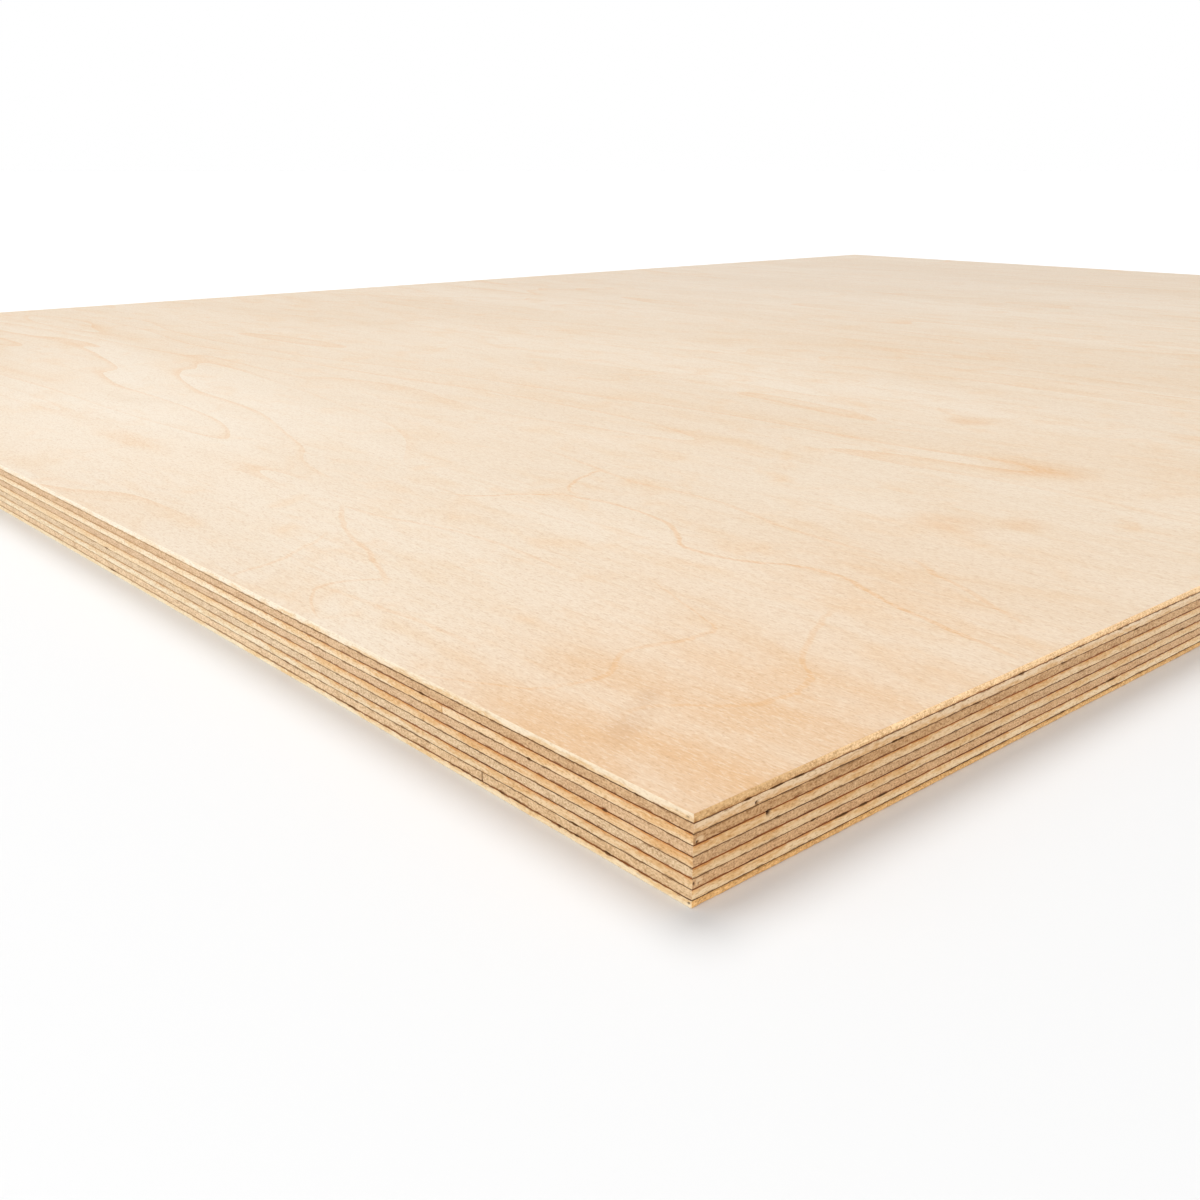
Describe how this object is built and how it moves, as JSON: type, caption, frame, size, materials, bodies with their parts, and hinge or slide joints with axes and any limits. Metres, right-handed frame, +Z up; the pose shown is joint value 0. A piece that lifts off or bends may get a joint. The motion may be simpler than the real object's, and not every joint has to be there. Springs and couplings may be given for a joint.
{
  "type": "plywood sheet",
  "caption": "Flat rectangular plywood sheet of cross-banded birch veneers with dark glue lines showing on its bare sawn edges, for panels, shelves and boxes.",
  "frame": {"origin": "centre of the back face, on the surface that the sheet lies on", "axes": "+X along the longer side, across the grain of the face; +Y along the shorter side, with the grain of the face; +Z up, out of the face"},
  "size_m": [0.8, 0.6, 0.012],
  "materials": {
    "face_birch": "sanded, unfinished rotary-cut birch",
    "long_birch": "sawn, unfinished birch veneer with its grain along Y",
    "cross_birch": "sawn, unfinished birch veneer with its grain along X",
    "glue": "cured dark brown resin glue, cut flush at the edges"
  },
  "bodies": {
    "root": {"face_veneer": "face_birch", "cross_ply_2": "cross_birch", "long_ply_3": "long_birch", "cross_ply_4": "cross_birch", "centre_ply_5": "long_birch", "cross_ply_6": "cross_birch", "long_ply_7": "long_birch", "cross_ply_8": "cross_birch", "back_veneer": "face_birch", "glue_lines": "glue"}
  },
  "joints": []
}
